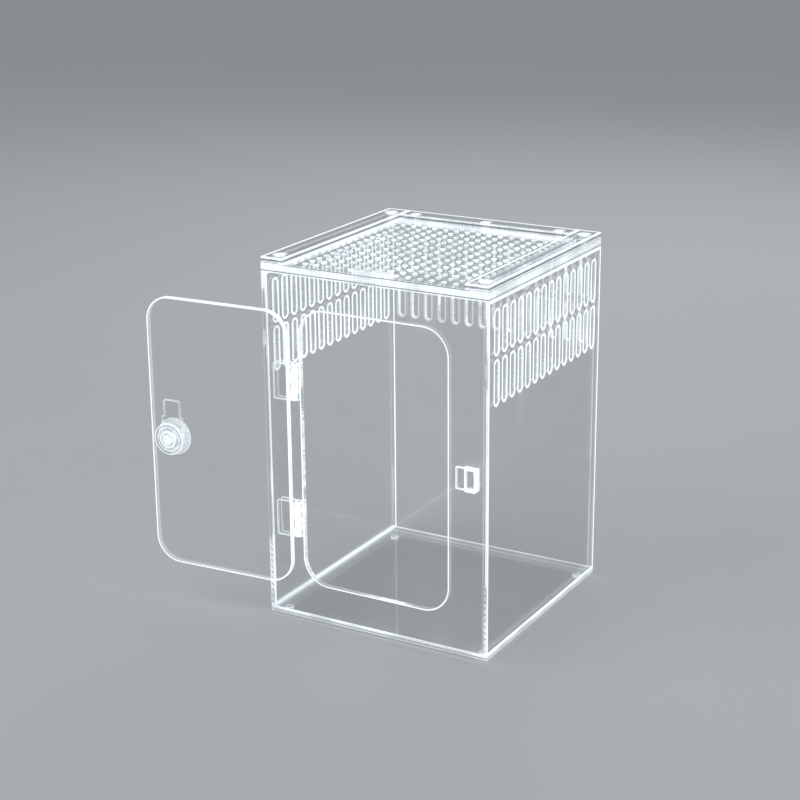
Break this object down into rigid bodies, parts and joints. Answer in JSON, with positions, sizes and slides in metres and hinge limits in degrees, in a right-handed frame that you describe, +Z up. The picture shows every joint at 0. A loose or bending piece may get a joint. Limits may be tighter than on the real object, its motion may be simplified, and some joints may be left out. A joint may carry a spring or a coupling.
{
  "type": "acrylic faunarium",
  "caption": "Tall clear acrylic faunarium with slotted walls, a hinged front door held by a turn latch, and a perforated lid that slides in rails on top.",
  "frame": {"origin": "centre of the base panel's underside, which the feet hold 2.5 mm above what the box stands on", "axes": "+Z up, the front wall with the door faces -Y, +X is to the right as seen from the front"},
  "size_m": [0.3006, 0.2218, 0.3025],
  "materials": {
    "clear_acrylic_sheet": "clear colourless acrylic sheet with flame-bright laser-cut edges",
    "clear_moulded_plastic": "clear moulded plastic of the hinges and the latch, glossy",
    "clear_nylon_screw": "milky clear plastic screws with a flat head",
    "clear_bumper": "clear soft bumper feet"
  },
  "bodies": {
    "box": {"base_panel": "clear_acrylic_sheet", "left_wall": "clear_acrylic_sheet", "right_wall": "clear_acrylic_sheet", "back_wall": "clear_acrylic_sheet", "front_wall": "clear_acrylic_sheet", "top_ring": "clear_acrylic_sheet", "left_rail_spacer": "clear_acrylic_sheet", "right_rail_spacer": "clear_acrylic_sheet", "back_rail_spacer": "clear_acrylic_sheet", "left_cover_rail": "clear_acrylic_sheet", "right_cover_rail": "clear_acrylic_sheet", "back_cover_strip": "clear_acrylic_sheet", "keeper_spacer": "clear_acrylic_sheet", "keeper_lip": "clear_acrylic_sheet", "keeper_cap": "clear_acrylic_sheet", "upper_hinge_wall_leaf": "clear_moulded_plastic", "lower_hinge_wall_leaf": "clear_moulded_plastic", "upper_hinge_pin": "clear_moulded_plastic", "lower_hinge_pin": "clear_moulded_plastic", "corner_screws": "clear_nylon_screw", "back_strip_screws": "clear_nylon_screw", "feet": "clear_bumper"},
    "door": {"door_panel": "clear_acrylic_sheet", "upper_hinge_door_leaf": "clear_moulded_plastic", "lower_hinge_door_leaf": "clear_moulded_plastic"},
    "latch": {"latch_inner_disc": "clear_moulded_plastic", "latch_tongue": "clear_moulded_plastic", "latch_knob": "clear_moulded_plastic", "latch_bolt": "clear_moulded_plastic", "latch_nut": "clear_moulded_plastic"},
    "lid": {"sliding_lid": "clear_acrylic_sheet", "lid_handle": "clear_acrylic_sheet"}
  },
  "joints": [
    {"name": "door_hinge", "type": "hinge", "parent": "box", "child": "door", "pos_m": [-0.068, -0.1037, 0.147], "axis": [0, 0, -1], "range_deg": [-177, 8]},
    {"name": "latch_turn", "type": "hinge", "parent": "door", "child": "latch", "pos_m": [-0.18384, -0.10977, 0.1412], "axis": [-0.0523, 0.9986, 0], "range_deg": [-90, 90]},
    {"name": "lid_slide", "type": "slide", "parent": "box", "child": "lid", "axis": [0, -1, 0], "range_m": [0, 0.186]}
  ]
}
